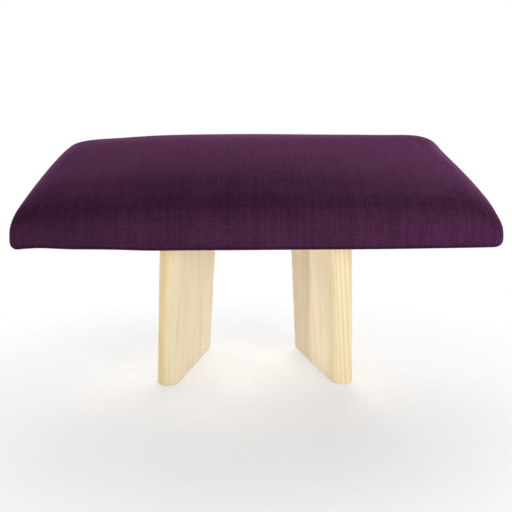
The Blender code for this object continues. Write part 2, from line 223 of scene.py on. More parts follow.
def ring_shapes(power):
    """Inset, corner radius, height and share of the crown of every ring, from the top outwards."""
    shapes = []
    for step in range(SHOULDER_STEPS + 1):
        angle = math.pi / 2 * (1 - step / SHOULDER_STEPS)
        reach = SHOULDER_REACH * (1 - max(math.cos(angle), 0.0) ** power)
        radius = CORNER_RADIUS + CORNER_SOFTENING * reach
        shapes.append((reach, radius, board_top + shoulder_rise * math.sin(angle) ** power, 1.0))
    for step in range(1, SIDE_RING_STEPS + 1):
        share = step / SIDE_RING_STEPS
        shapes.append((0.0, CORNER_RADIUS, board_top + (TURN_RADIUS - board_top) * share, 1 - share))
    for step in range(1, TURN_STEPS + 1):
        angle = math.pi / 2 * (1 - step / TURN_STEPS)
        inset = TURN_RADIUS * (1 - math.sin(angle))
        shapes.append((inset, CORNER_RADIUS - inset, TURN_RADIUS * (1 - math.cos(angle)), 0.0))
    for step in range(1, HEM_STEPS + 1):
        share = step / HEM_STEPS
        inset = TURN_RADIUS + (HEM_WIDTH - TURN_RADIUS) * share
        radius = CORNER_RADIUS - TURN_RADIUS + (HEM_CORNER_RADIUS - CORNER_RADIUS + TURN_RADIUS) * share
        shapes.append((inset, radius, 0.0, 0.0))
    return shapes


def ring_points(inset, radius, height, crown_share):
    """One ring: the outline drawn in, lifted to its height on the crown."""
    flat = outline(inset, radius)
    heights = height + crown_share * crown(flat[:, 0], flat[:, 1])
    return np.column_stack((flat, heights))


def soft_step(values):
    """Rises softly from 0 to 1 while the values do."""
    share = np.clip(values, 0.0, 1.0)
    return share ** 2 * (3 - 2 * share)


from_corner = np.minimum(np.arange(ring_count), SIDE_COUNTS[0] - np.arange(ring_count))
firm_share = soft_step(from_corner / FIRM_FADE_POINTS)[:, None]
rings = []
for soft, firm in zip(ring_shapes(SOFT_POWER), ring_shapes(FIRM_POWER)):
    rings.append((1 - firm_share) * ring_points(*soft) + firm_share * ring_points(*firm))
print("rings:", len(rings), "shoulder rise in mm:", round(shoulder_rise / MM, 1))

# %% [markdown]
# ## The cushion's mesh
#
# The innermost ring is filled with a grid of four-sided faces, bent to meet the ring on all four sides.
# It carries the weave evenly and subdivides smoothly, which a fan of triangles would not. Each face corner
# also keeps its place on the flat cloth, measured along the surface, so that the weave follows the
# shoulder instead of being smeared down the sides. At a corner the cloth of two sides meets in a fold.

# %% Fill the top and join the rings
def top_grid(ring):
    """The points inside the innermost ring, by blending its four sides across."""
    long_count, short_count = SIDE_COUNTS[0], SIDE_COUNTS[1]
    front = ring[0:long_count + 1]
    right = ring[long_count:long_count + short_count + 1]
    back = ring[long_count + short_count:2 * long_count + short_count + 1][::-1]
    left = np.vstack((ring[2 * long_count + short_count:], ring[:1]))[::-1]
    across = np.linspace(0, 1, long_count + 1)[:, None, None]
    along = np.linspace(0, 1, short_count + 1)[None, :, None]
    blend_long = (1 - along) * front[:, None] + along * back[:, None]
    blend_short = (1 - across) * left[None, :] + across * right[None, :]
    near = (1 - across) * front[0] + across * front[-1]
    far = (1 - across) * back[0] + across * back[-1]
    grid = blend_long + blend_short - ((1 - along) * near + along * far)
    grid[:, :, 2] = seat_thickness - CROWN_HEIGHT + crown(grid[:, :, 0], grid[:, :, 1])
    return grid


def ring_number(column, row, columns, rows):
    """Which point of the ring lies at an edge place of the grid, or None inside it."""
    if row == 0:
        return column
    if column == columns:
        return columns + row
    if row == rows:
        return columns + rows + (columns - column)
    if column == 0:
        return 2 * columns + rows + (rows - row)
    return None


def join_rings(ring_total, count):
    """The four-sided faces between rings that have the same count of points."""
    faces = []
    for ring in range(ring_total - 1):
        here, outside = ring * count, (ring + 1) * count
        for step in range(count):
            after = (step + 1) % count
            faces.append([outside + step, outside + after, here + after, here + step])
    return faces


def build_cushion_faces(grid):
    """All points and faces of the cushion: rings first, then what lies inside the grid."""
    columns, rows = SIDE_COUNTS[0], SIDE_COUNTS[1]
    points = [point for ring in rings for point in ring]
    number = {}
    for column in range(columns + 1):
        for row in range(rows + 1):
            on_ring = ring_number(column, row, columns, rows)
            if on_ring is None:
                number[column, row] = len(points)
                points.append(grid[column, row])
            else:
                number[column, row] = on_ring % ring_count
    faces = []
    for column in range(columns):
        for row in range(rows):
            corners = ((column, row), (column + 1, row), (column + 1, row + 1), (column, row + 1))
            faces.append([number[corner] for corner in corners])
    return np.array(points), faces + join_rings(len(rings), ring_count)


cushion_points, cushion_faces = build_cushion_faces(top_grid(rings[0]))
print("cushion points:", len(cushion_points), "faces:", len(cushion_faces))

# %% Lay the flat cloth out over the faces
def distances_along(line):
    """How far each point of a line lies from its start, measured along the line."""
    steps = np.linalg.norm(np.diff(line, axis=0), axis=1)
    return np.concatenate(([0.0], np.cumsum(steps)))


def side_cloth(side, lengths):
    """Flat cloth places of one side: one row per ring, one column per point from corner to corner."""
    start = sum(SIDE_COUNTS[:side])
    chosen = [(start + step) % ring_count for step in range(SIDE_COUNTS[side] + 1)]
    inner_edge = abs(rings[0][chosen[len(chosen) // 2]][1 if side % 2 == 0 else 0])
    places = []
    for ring, length in zip(rings, lengths):
        line = ring[chosen]
        run = distances_along(line[:, :2])
        run -= run[-1] / 2
        out = np.full(len(run), inner_edge + length)
        turned = ((run, -out), (out, run), (-run, out), (-out, -run))[side]
        places.append(np.column_stack(turned))
    return np.array(places)


def cloth_places():
    """The flat cloth place of every face corner, in the order of the faces."""
    middle_of_front = SIDE_COUNTS[0] // 2
    lengths = distances_along(np.array([ring[middle_of_front] for ring in rings]))
    grid_faces = SIDE_COUNTS[0] * SIDE_COUNTS[1]
    places = [cushion_points[index][:2] for face in cushion_faces[:grid_faces] for index in face]
    sides = [side_cloth(side, lengths) for side in range(4)]
    for ring in range(len(rings) - 1):
        for side, count in enumerate(SIDE_COUNTS):
            for step in range(count):
                inner, outer = sides[side][ring], sides[side][ring + 1]
                places += [outer[step], outer[step + 1], inner[step + 1], inner[step]]
    return np.array(places)


flat_places = cloth_places()
cloth_size = 2 * np.abs(flat_places).max(axis=0)
print("the cloth was cut to about", [round(size / MM) for size in cloth_size], "mm")

# %% [markdown]
# ## What the upholsterer's hands did
#
# No two corners of a hand-covered seat are alike. On this one the back left corner sinks, the back right
# corner is filled tighter and stands proud, the right side swells a little more, the front corners are
# pulled in, and the lower front edge isn't quite straight. Each of these is a soft push at one place of
# the cushion, in millimetres, which fades out round it. The cloth was also pulled hardest over the front
# edge, most of all on the left. That pressed the foam down behind its front shoulder, so the top rolls
# over gently before it turns down. The cloth's shallow hollows can't be written that way, so they are
# left to the simulation further on.

# %% Push the cushion where the hands did
HAND_MARKS = {
    "back left corner sinks": ((-158, 100, 34), 31, (0.0, 0.0, -2.1)),
    "most of all at its tip": ((-198, 100, 28), 13, (-0.1, 0.0, -1.2)),
    "back right edge lies higher": ((150, 100, 40), 42, (0.0, 0.0, 1.5)),
    "back right corner stands proud": ((178, 97, 34), 17, (0.6, 0.6, 1.8)),
    "right side swells": ((198, -20, 24), 45, (0.9, 0.0, 0.2)),
    "right front corner is pulled in": ((198, -110, 28), 14, (-2.6, 0.5, 0.0)),
    "and stands square below": ((198, -116, 3), 12, (1.1, 0.0, 0.4)),
    "left front corner is pulled in": ((-199, -113, 22), 10, (1.6, 0.4, 0.0)),
    "left front corner hangs low": ((-200, -118, 2), 9, (-0.5, 0.0, -1.1)),
    "front edge is drawn up beside it": ((-178, -118, 1), 13, (0.0, 0.0, 1.6)),
    "front edge is flat before the left leg": ((-132, -118, 1), 26, (0.0, 0.0, 0.7)),
    "and sags a little beside it": ((-88, -118, 1), 14, (0.0, 0.0, -0.4)),
    "front edge is drawn up on the right": ((170, -118, 1), 40, (0.0, 0.0, 0.5)),
    "and a little in the middle": ((40, -118, 1), 50, (0.0, 0.0, 0.35)),
}


def bell(values):
    """1 at zero, and hardly anything beyond two either way."""
    return np.exp(-(values ** 2) / 2)


def push(points, place, reach, move):
    """Moves the points near a place, most there and hardly any at twice the reach."""
    distance = np.linalg.norm(points - np.array(place) * MM, axis=1)
    return points + bell(distance / (reach * MM))[:, None] * np.array(move) * MM


ROLL_DEPTH = 1.9 * MM
ROLL_FROM_FRONT = 24.0 * MM
ROLL_REACH = 17.0 * MM
ROLL_END_FADE = 45.0 * MM
ROLL_TOP_FADE = 12.0 * MM
ROLL_LEFT_SHARE = 0.8
LEFTWARD_SLOPE = 0.7


def roll_over_front(points):
    """Lowers the top in a soft band behind the front shoulder, deeper on the left."""
    band = bell((points[:, 1] + half_depth - ROLL_FROM_FRONT) / ROLL_REACH)
    away_from_ends = soft_step((half_width - np.abs(points[:, 0])) / ROLL_END_FADE)
    on_top = soft_step((points[:, 2] - board_top) / ROLL_TOP_FADE)
    leftward = soft_step(0.5 - LEFTWARD_SLOPE * points[:, 0] / half_width)
    depth = ROLL_DEPTH * (1 + ROLL_LEFT_SHARE * leftward)
    rolled = points.copy()
    rolled[:, 2] -= depth * band * away_from_ends * on_top
    return rolled


hand_points = roll_over_front(cushion_points)
for mark, (place, reach, move) in HAND_MARKS.items():
    hand_points = push(hand_points, place, reach, move)
    print(mark)

# %% [markdown]
# ## Filling the cover
#
# A stuffed cover is held out by what is inside it. Blender's cloth can do that: the hem is pinned as
# the staples hold it, pressure pushes from inside, and the cloth finds its own shallow hollows between the
# corners. The mesh starts a little small. The foam below lets no point sink far, and tight cloth lets none
# rise far, so both are capped, and the cushion keeps the size of the model. Wrinkles narrower than the
# mesh can draw are evened out. The nap on top of the cloth adds a little more than half a millimetre.
# The result is kept as a plain mesh.

# %% Tools for pieces and for the cloth
CLOTH_FRAMES = 20
CLOTH_SETTINGS = {
    "quality": 6,
    "mass": 0.3,
    "tension_stiffness": 640.0,
    "compression_stiffness": 640.0,
    "shear_stiffness": 320.0,
    "bending_stiffness": 4.0,
    "use_pressure": True,
    "uniform_pressure_force": 4.0,
}


def new_piece(name, points, faces):
    """A smooth-shaded piece in the scene, made of these points and faces."""
    mesh = bpy.data.meshes.new(name)
    mesh.from_pydata([tuple(point) for point in points], [], faces)
    mesh.shade_smooth()
    piece = bpy.data.objects.new(name, mesh)
    bpy.context.scene.collection.objects.link(piece)
    return piece


def shaped_result(piece):
    """The mesh of a piece with its modifiers worked out."""
    graph = bpy.context.evaluated_depsgraph_get()
    return bpy.data.meshes.new_from_object(piece.evaluated_get(graph))


def fill_cover(piece, pinned):
    """Runs the cloth under pressure and returns where its points end."""
    group = piece.vertex_groups.new(name="stapled hem")
    group.add(pinned, 1.0, "REPLACE")
    cloth = piece.modifiers.new("filling", "CLOTH")
    for name, value in CLOTH_SETTINGS.items():
        setattr(cloth.settings, name, value)
    cloth.settings.vertex_group_mass = group.name
    cloth.settings.effector_weights.gravity = 0.0
    cloth.point_cache.frame_start = 1
    cloth.point_cache.frame_end = CLOTH_FRAMES
    for number in range(1, CLOTH_FRAMES + 1):
        bpy.context.scene.frame_set(number)
    ended = rows_of(shaped_result(piece).vertices, "co")
    piece.modifiers.remove(cloth)
    piece.vertex_groups.remove(group)
    bpy.context.scene.frame_set(1)
    return ended


def even_out(mesh, values, passes):
    """Averages a value at each point with its neighbours, several times over."""
    ends = np.empty(len(mesh.edges) * 2, dtype=int)
    mesh.edges.foreach_get("vertices", ends)
    first, second = ends.reshape(-1, 2).T
    neighbours = np.bincount(ends, minlength=len(values)) + 1
    for _ in range(passes):
        total = values + np.bincount(first, values[second], len(values))
        values = (total + np.bincount(second, values[first], len(values))) / neighbours
    return values


print("the cloth will be followed for", CLOTH_FRAMES, "frames")

# %% Blow the cover up against its own seams
START_SMALLER = 0.3 * MM
FARTHEST_MOVE = 5.0 * MM
FARTHEST_SINK = 0.5 * MM
FARTHEST_RISE = 1.2 * MM
NAP = 0.6 * MM
EVEN_PASSES = 5
NO_LENGTH = 1e-9

seat_cover = new_piece("seat_cover", hand_points, cushion_faces)
hem_start = ring_count * (SHOULDER_STEPS + SIDE_RING_STEPS + TURN_STEPS)
hem_end = ring_count * len(rings)
outward = rows_of(seat_cover.data.vertex_normals, "vector")
free = np.ones(len(hand_points))
free[hem_start:hem_end] = 0.0
small = hand_points - START_SMALLER * free[:, None] * outward
seat_cover.data.vertices.foreach_set("co", small.ravel())
seat_cover.data.update()
move = fill_cover(seat_cover, list(range(hem_start, hem_end))) - small
length = np.linalg.norm(move, axis=1)
capped = move * np.minimum(1.0, FARTHEST_MOVE / np.maximum(length, NO_LENGTH))[:, None]
rise = ((small + capped - hand_points) * outward).sum(axis=1)
risen = even_out(seat_cover.data, rise, EVEN_PASSES)
print("the cloth moved at most", round(float(length.max()) / MM, 2), "mm")
farthest = np.where(risen < 0, FARTHEST_SINK, FARTHEST_RISE)
held = farthest * np.tanh(risen / farthest) + NAP
settled = hand_points + (held * free)[:, None] * outward
low, middle, high = np.percentile(held, (5, 50, 95)) / MM
print("its face against the form, in mm:", round(low, 2), round(middle, 2), round(high, 2))

# %% [markdown]
# ## Folds, and the thickness of the cloth
#
# Where the hem turns a corner there is too much cloth, so it is folded over itself like the end of a
# parcel. The fold shows as a raised flap beside each corner on the underside, and as a short crease on the
# front left corner. After that the mesh is divided once more for a smooth outline, and thickened inwards
# by the millimetre that the cloth is thick, so that its outer face stays where it is.

# %% Fold the corners
FLAP_LENGTH = 26.0 * MM
FLAP_THICKNESS = 0.7 * MM
FLAP_EDGE = 4.0 * MM
CREASE_PLACE = Vector((-191.5, -119.0, 3.0)) * MM
CREASE_WIDTH = 1.6 * MM
CREASE_HEIGHT = 6.0 * MM
CREASE_DEPTH = 1.0 * MM
CREASE_INTO_SEAT = 8.0 * MM


def fold_hem_corners(points):
    """Lowers a flap of doubled cloth beside each corner of the hem."""
    folded = points.copy()
    hem = slice(hem_start, hem_end)
    from_corner = half_width - np.abs(points[hem, 0])
    flap = np.clip(1 - from_corner / FLAP_LENGTH, 0, 1)
    past_diagonal = from_corner - (half_depth - np.abs(points[hem, 1]))
    beside_fold = np.clip(past_diagonal / FLAP_EDGE + 0.5, 0, 1)
    folded[hem, 2] -= FLAP_THICKNESS * np.sqrt(flap) * beside_fold
    return folded


def crease_corner(points):
    """Draws a narrow upright crease into the front, low on its left corner."""
    across = (points[:, 0] - CREASE_PLACE.x) / CREASE_WIDTH
    upward = (points[:, 2] - CREASE_PLACE.z) / CREASE_HEIGHT
    near_front = points[:, 1] < CREASE_PLACE.y + CREASE_INTO_SEAT
    creased = points.copy()
    creased[:, 1] += CREASE_DEPTH * np.exp(-(across ** 2 + upward ** 2)) * near_front
    return creased


settled = crease_corner(fold_hem_corners(settled))
seat_cover.data.vertices.foreach_set("co", settled.ravel())
cloth_place = seat_cover.data.attributes.new("cloth_place", "FLOAT_VECTOR", "CORNER")
level_places = np.column_stack((flat_places, np.zeros(len(flat_places))))
cloth_place.data.foreach_set("vector", level_places.ravel())
seat_cover.data.update()
print("a flap beside each corner, in mm:", round(FLAP_LENGTH / MM), "long")

# %% Smooth and thicken the cloth
CLOTH_THICKNESS = 1.0 * MM


def keep_modifiers(piece):
    """Replaces a piece's mesh by the result of its modifiers."""
    shaped = shaped_result(piece)
    piece.modifiers.clear()
    piece.data = shaped
    return shaped


smoothing = seat_cover.modifiers.new("smoothing", "SUBSURF")
smoothing.levels = 1
smoothing.render_levels = 1
thickness = seat_cover.modifiers.new("cloth thickness", "SOLIDIFY")
thickness.thickness = CLOTH_THICKNESS
thickness.offset = -1.0
finished_cover = keep_modifiers(seat_cover)
finished_cover.shade_smooth()
finished_cover.transform(seat_frame)
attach(seat_cover, "root")
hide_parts("fabric_cover", "wadding", "foam_pad")
print("seat cover faces:", len(finished_cover.polygons))

# %% [markdown]
# ## Tools for materials
#
# A material in Blender is a tree of small boxes, each with inputs and one or more results. Writing them
# out takes many lines, so one helper places a box and wires it in a single call, and the others use it
# for arithmetic, noise and blends. An effect that several materials share becomes a node group with
# named sockets: it is built once, and each material sets its own values on it.

# %% Helpers that place and wire nodes
def srgb(red, green, blue):
    """The light, from 0 to 1, that stands for a colour of a picture, from 0 to 255."""
    shares = [value / 255 for value in (red, green, blue)]
    linear = [share / 12.92 if share <= 0.04045 else ((share + 0.055) / 1.055) ** 2.4 for share in shares]
    return (*linear, 1.0)


def feed(tree, node, inputs):
    """Sets each input of a node to a fixed value, or links it to another node's result."""
    for name, value in inputs.items():
        if isinstance(value, bpy.types.NodeSocket):
            tree.links.new(value, node.inputs[name])
        else:
            node.inputs[name].default_value = value


def add_node(tree, kind, inputs=None, **settings):
    """Places a node with its settings, and feeds its inputs."""
    node = tree.nodes.new(kind)
    for name, value in settings.items():
        setattr(node, name, value)
    feed(tree, node, inputs or {})
    return node


def calculate(tree, operation, *values):
    """One step of arithmetic on numbers or results."""
    return add_node(tree, "ShaderNodeMath", dict(enumerate(values)), operation=operation).outputs[0]


def vector_step(tree, operation, first, second=None):
    """One step of arithmetic on vectors. SCALE takes a number second, and LENGTH takes nothing."""
    inputs = {0: first}
    if second is not None:
        inputs["Scale" if operation == "SCALE" else 1] = second
    node = add_node(tree, "ShaderNodeVectorMath", inputs, operation=operation)
    return node.outputs["Value" if operation == "LENGTH" else 0]


def part_of(tree, vector, axis):
    """One of the three numbers of a vector."""
    return add_node(tree, "ShaderNodeSeparateXYZ", {"Vector": vector}).outputs[axis]


def fade(tree, value, start, end, low=0.0, high=1.0):
    """A soft step from low to high while the value goes from start to end."""
    inputs = {"Value": value, "From Min": start, "From Max": end, "To Min": low, "To Max": high}
    return add_node(tree, "ShaderNodeMapRange", inputs, interpolation_type="SMOOTHSTEP").outputs["Result"]


print("a picture's middle grey, as a share of full light:", round(srgb(128, 128, 128)[0], 3))

# %% Helpers for noise and colour
# A Mix node has sockets for every kind of value. These are the numbers of its colour sockets.
MIX_SHARE, MIX_FIRST, MIX_SECOND, MIX_COLOUR = 0, 6, 7, 2


def noise(tree, place, scale, detail, roughness=0.5, result=0):
    """Soft noise round a half. Detail adds finer noise, and roughness makes the finer noise stronger."""
    inputs = {"Vector": place, "Scale": scale, "Detail": detail, "Roughness": roughness}
    return add_node(tree, "ShaderNodeTexNoise", inputs).outputs[result]


def chance(tree, number):
    """A random value from 0 to 1, always the same one for the same number."""
    return add_node(tree, "ShaderNodeTexWhiteNoise", {"W": number}, noise_dimensions="1D").outputs["Value"]


def grey(tree, value):
    """A number as a colour without hue."""
    return add_node(tree, "ShaderNodeCombineColor", {0: value, 1: value, 2: value}).outputs[0]


def blend_colours(tree, share, first, second, way="MIX"):
    """The first colour where share is 0, and the second where it is 1."""
    inputs = {MIX_SHARE: share, MIX_FIRST: first, MIX_SECOND: second}
    return add_node(tree, "ShaderNodeMix", inputs, data_type="RGBA", blend_type=way).outputs[MIX_COLOUR]


def lay_over(tree, mask, strength, before, colour):
    """Lays a colour over another where a mask is, at the given strength."""
    return blend_colours(tree, calculate(tree, "MULTIPLY", mask, strength), before, colour)


print("a Mix node blends colours through its inputs", MIX_SHARE, MIX_FIRST, "and", MIX_SECOND)

# %% Helpers for groups and materials
def new_group(name, inputs, results):
    """A node group with named inputs, at their usual values, and named results that are numbers."""
    group = bpy.data.node_groups.new(name, "ShaderNodeTree")
    for label, value in inputs.items():
        kind = "NodeSocketFloat" if isinstance(value, float) else "NodeSocketVector"
        group.interface.new_socket(label, in_out="INPUT", socket_type=kind).default_value = value
    for label in results:
        group.interface.new_socket(label, in_out="OUTPUT", socket_type="NodeSocketFloat")
    return group, group.nodes.new("NodeGroupInput").outputs, group.nodes.new("NodeGroupOutput")


def place_group(tree, group, inputs):
    """Places a group in a material with the material's own values, and returns its results."""
    return add_node(tree, "ShaderNodeGroup", inputs, node_tree=group).outputs


def new_material(name):
    """A new material with its node tree and its main shader."""
    material = bpy.data.materials.new(name)
    material.use_nodes = True
    return material, material.node_tree, material.node_tree.nodes["Principled BSDF"]


def dress(tree, shader, colour, roughness, relief, strength, depth, constants=None):
    """Feeds the main shader its colour, its roughness, a relief of some depth, and its constants."""
    bump = add_node(tree, "ShaderNodeBump", {"Height": relief, "Strength": strength, "Distance": depth})
    feed(tree, shader, {"Base Color": colour, "Roughness": roughness, "Normal": bump.outputs["Normal"]})
    feed(tree, shader, constants or {})


print("helpers ready, groups built so far:", len(bpy.data.node_groups))

# %% [markdown]
# ## The weave
#
# The cover is a sturdy plain weave: upright threads and crosswise threads pass over and under each other
# in turn, about one a millimetre. A picture of cloth would blur when you come close. Arithmetic doesn't:
# the whole part of a place tells which two threads cross there, and the rest tells how far from their
# middle it is. Where the two thread numbers add up to an even number, the upright thread lies on top.
# The group also tells which upright threads are odd ones, so that a cloth can have ribs.

# %% Build the weave group
THREADS_PER_METRE = 930.0
WAVER_SCALE = 0.35
CROSSWISE_SEED = 371.0
THREAD_ROUNDNESS = 0.6
LOWEST_AT_CROSSING = 0.45


def build_weave():
    """What the threads do at a place of the flat cloth, which Place gives in metres."""
    group, given, result = new_group(
        "plain_weave",
        {"Place": (0.0, 0.0, 0.0), "Threads Per Metre": THREADS_PER_METRE, "Unevenness": 0.25},
        ("Height", "Upright On Top", "Thread Shade", "Odd Upright"),
    )
    thread_place = vector_step(group, "SCALE", given["Place"], given["Threads Per Metre"])
    waver = noise(group, thread_place, WAVER_SCALE, 2.0, result="Color")
    centred = vector_step(group, "SUBTRACT", waver, (0.5, 0.5, 0.5))
    shift = vector_step(group, "SCALE", centred, given["Unevenness"])
    wavering = vector_step(group, "ADD", thread_place, shift)
    numbers = []
    ridges = []
    for axis in ("X", "Y"):
        counted = part_of(group, wavering, axis)
        numbers.append(calculate(group, "FLOOR", counted))
        within = calculate(group, "SUBTRACT", counted, numbers[-1])
        ridges.append(calculate(group, "SINE", calculate(group, "MULTIPLY", within, math.pi)))
    upright_number, crosswise_number = numbers
    odd_crossing = calculate(group, "FLOORED_MODULO", calculate(group, "ADD", *numbers), 2.0)
    upright_on_top = calculate(group, "SUBTRACT", 1.0, odd_crossing)
    crosswise_seed = calculate(group, "ADD", crosswise_number, CROSSWISE_SEED)
    shades = chance(group, upright_number), chance(group, crosswise_seed)
    heights = []
    for across, length_wise in (ridges, ridges[::-1]):
        bent = calculate(group, "MULTIPLY_ADD", length_wise, 1 - LOWEST_AT_CROSSING, LOWEST_AT_CROSSING)
        round_thread = calculate(group, "POWER", across, THREAD_ROUNDNESS)
        heights.append(calculate(group, "MULTIPLY", round_thread, bent))

    def top_of(upright, crosswise):
        """Takes the upright value where that thread is on top, and the crosswise one elsewhere."""
        difference = calculate(group, "SUBTRACT", upright, crosswise)
        return calculate(group, "MULTIPLY_ADD", difference, upright_on_top, crosswise)

    feed(group, result, {
        "Height": top_of(*heights),
        "Upright On Top": upright_on_top,
        "Thread Shade": top_of(*shades),
        "Odd Upright": calculate(group, "FLOORED_MODULO", upright_number, 2.0),
    })
    return group


weave_group = build_weave()
print("weave group:", len(weave_group.nodes), "nodes")

# %% [markdown]
# ## Wear
#
# Edges that hands, floors and tools touch get paler. The group finds them by how sharply the surface
# turns, and breaks the mark up with noise, because wear is never even. The same noise, over the whole
# surface, gives the broad patches of a finish.

# %% Build the wear group
FLAT_SURFACE = 0.5
EDGE_BEGINS = 0.505


def build_wear():
    """Where edges are rubbed, and the noise that breaks the rubbing up."""
    group, given, result = new_group(
        "edge_wear", {"Place": (0.0, 0.0, 0.0), "Patch Scale": 60.0, "Reach": 0.06}, ("Edge", "Patches")
    )
    turning = add_node(group, "ShaderNodeNewGeometry").outputs["Pointiness"]
    edge = fade(group, turning, EDGE_BEGINS, calculate(group, "ADD", FLAT_SURFACE, given["Reach"]))
    patches = noise(group, given["Place"], given["Patch Scale"], 4.0, roughness=0.6)
    broken_edge = calculate(group, "MULTIPLY", edge, fade(group, patches, 0.35, 0.65))
    feed(group, result, {"Edge": broken_edge, "Patches": patches})
    return group


wear_group = build_wear()
print("wear group:", len(wear_group.nodes), "nodes")

# %% [markdown]
# ## Plum cloth
#
# The cloth is dark plum and matt. Its upright threads are lighter than its crosswise ones, which gives
# the rows of fine dots, and every second upright thread is lighter again, which gives faint ribs. The
# yarn is unevenly spun, so noise makes some stretches paler. Towards the left, where less light falls,
# the dots and ribs are painted weaker: painted shading. Loose fibres on the face catch light at a low
# angle, and the seat pales towards its far edge: one part of that is the shader's sheen, with a fixed
# tint, and the other is a painted sheen, a paler colour mixed in as the cloth turns away from the eye.
# Broad, faint patches come from the nap lying in different directions. Round the lower edge the cloth
# bends sharply under, and there its colour is painted darker towards the gaps' dark: painted shade.

# %% Make the cloth
UPRIGHT_THREAD = srgb(92, 51, 84)
CROSSWISE_THREAD = srgb(50, 24, 46)
DEEP_BETWEEN = srgb(26, 11, 25)
# The colour of the painted sheen, mixed in where the cloth is seen at a low angle.
PAINTED_SHEEN_COLOUR = srgb(152, 92, 138)
SHEEN_TINT = srgb(255, 165, 236)
CLOTH_UNEVENNESS = 0.8
# How much weaker the dots and ribs are painted on the left, where less light falls.
WEAKEST_DOTS = 0.5
DOTS_FADE = 170.0 * MM
RIB_CONTRAST = 0.28
SLUB_SCALE = 210.0
THREAD_SHADES = (0.88, 1.12)
PATCH_SHADES = (0.92, 1.09)
SLUB_SHADES = (0.93, 1.07)
CLOTH_WORN = 0.25
# How strongly the painted shade darkens the cloth where it turns under the lower edge.
UNDER_EDGE_PAINTED_SHADE = 0.6
SOFT_PAINTED_SHEEN = 0.14
RIM_PAINTED_SHEEN = 0.7
CLOTH_ROUGHNESS = (0.98, 0.82)


def make_plum_cloth():
    """Threads first, then what makes them uneven, then wear, painted shade under the edge, and painted
    sheen last.
    """
    material, tree, shader = new_material("plum_cloth")
    place = add_node(tree, "ShaderNodeAttribute", attribute_name="cloth_place").outputs["Vector"]
    threads_here = {"Place": place, "Threads Per Metre": THREADS_PER_METRE, "Unevenness": CLOTH_UNEVENNESS}
    weave = place_group(tree, weave_group, threads_here)
    wear = place_group(tree, wear_group, {"Place": place, "Patch Scale": 26.0, "Reach": 0.05})
    # Painted shading: the dots and ribs are painted weaker towards the left, where less light falls.
    painted_light_contrast = fade(tree, part_of(tree, place, "X"), -DOTS_FADE, DOTS_FADE, WEAKEST_DOTS, 1.0)
    on_top = calculate(tree, "SUBTRACT", weave["Upright On Top"], 0.5)
    dots = calculate(tree, "MULTIPLY_ADD", on_top, painted_light_contrast, 0.5)
    threads = blend_colours(tree, dots, CROSSWISE_THREAD, UPRIGHT_THREAD)
    woven = blend_colours(tree, fade(tree, weave["Height"], 0.05, 0.6), DEEP_BETWEEN, threads)
    odd_or_even = calculate(tree, "MULTIPLY_ADD", weave["Odd Upright"], RIB_CONTRAST, -RIB_CONTRAST / 2)
    brightness = calculate(tree, "MULTIPLY_ADD", odd_or_even, painted_light_contrast, 1.0)
    for shade in (
        fade(tree, weave["Thread Shade"], 0.0, 1.0, *THREAD_SHADES),
        fade(tree, wear["Patches"], 0.3, 0.7, *PATCH_SHADES),
        fade(tree, noise(tree, place, SLUB_SCALE, 2.0), 0.25, 0.75, *SLUB_SHADES),
    ):
        brightness = calculate(tree, "MULTIPLY", brightness, shade)
    uneven = blend_colours(tree, 1.0, woven, grey(tree, brightness), "MULTIPLY")
    worn = lay_over(tree, wear["Edge"], CLOTH_WORN, uneven, UPRIGHT_THREAD)
    # Painted shade: faces that point down round the lower edge are darkened towards the gaps' colour.
    upward = part_of(tree, add_node(tree, "ShaderNodeNewGeometry").outputs["Normal"], "Z")
    below_side = fade(tree, upward, -0.40, -0.68)
    above_hem = fade(tree, upward, -0.96, -0.85)
    under_edge_shade_mask = calculate(tree, "MULTIPLY", below_side, above_hem)
    under_edge_shaded = lay_over(tree, under_edge_shade_mask, UNDER_EDGE_PAINTED_SHADE, worn, DEEP_BETWEEN)
    # Painted sheen: a paler colour is mixed in as the cloth turns away from the eye.
    grazing = add_node(tree, "ShaderNodeLayerWeight", {"Blend": 0.5}).outputs["Facing"]
    soft_painted_sheen = fade(tree, grazing, 0.3, 0.85, high=SOFT_PAINTED_SHEEN)
    rim_painted_sheen = fade(tree, grazing, 0.77, 1.0, high=RIM_PAINTED_SHEEN)
    sheen_painted = blend_colours(tree, calculate(tree, "ADD", soft_painted_sheen, rim_painted_sheen), under_edge_shaded, PAINTED_SHEEN_COLOUR)
    roughness = fade(tree, weave["Height"], 0.0, 1.0, *CLOTH_ROUGHNESS)
    dress(tree, shader, sheen_painted, roughness, weave["Height"], strength=0.6, depth=0.3 * MM, constants={
        "Specular IOR Level": 0.0,
        "Sheen Weight": 0.16,
        "Sheen Roughness": 0.24,
        "Sheen Tint": SHEEN_TINT,
    })
    return material


plum_cloth = make_plum_cloth()
seat_cover.data.materials.clear()
seat_cover.data.materials.append(plum_cloth)
print("plum cloth:", len(plum_cloth.node_tree.nodes), "nodes")

# %% [markdown]
# ## The leg boards
#
# Each leg is a planed pine board with half-round edges. It is let into the underside of the seat board,
# square to the slope, turned a little so that the two stand closer together behind, and leaned a little
# outwards. A saw cut level with the floor ends it. Cutting could be done with a boolean, but a board
# is simpler: each line along its length ends where it meets two planes, and a plane gives that height at
# once. A small rounding runs round the foot.

# %% Draw a leg as rings along its length
LEG_WIDTH = 141.0 * MM
LEG_THICKNESS = 22.0 * MM
LEG_OFFSET = 61.2 * MM
LEG_SETBACK = 11.0 * MM
LEG_TOE = math.radians(13.3)
LEG_SPLAY = math.radians(3.75)
HOUSING_DEPTH = 3.7 * MM
FOOT_ROUNDING = 1.4 * MM
HALF_ROUND_STEPS = 20
FLAT_STEPS = 12
LENGTH_STEPS = 14
FOOT_STEPS = 4


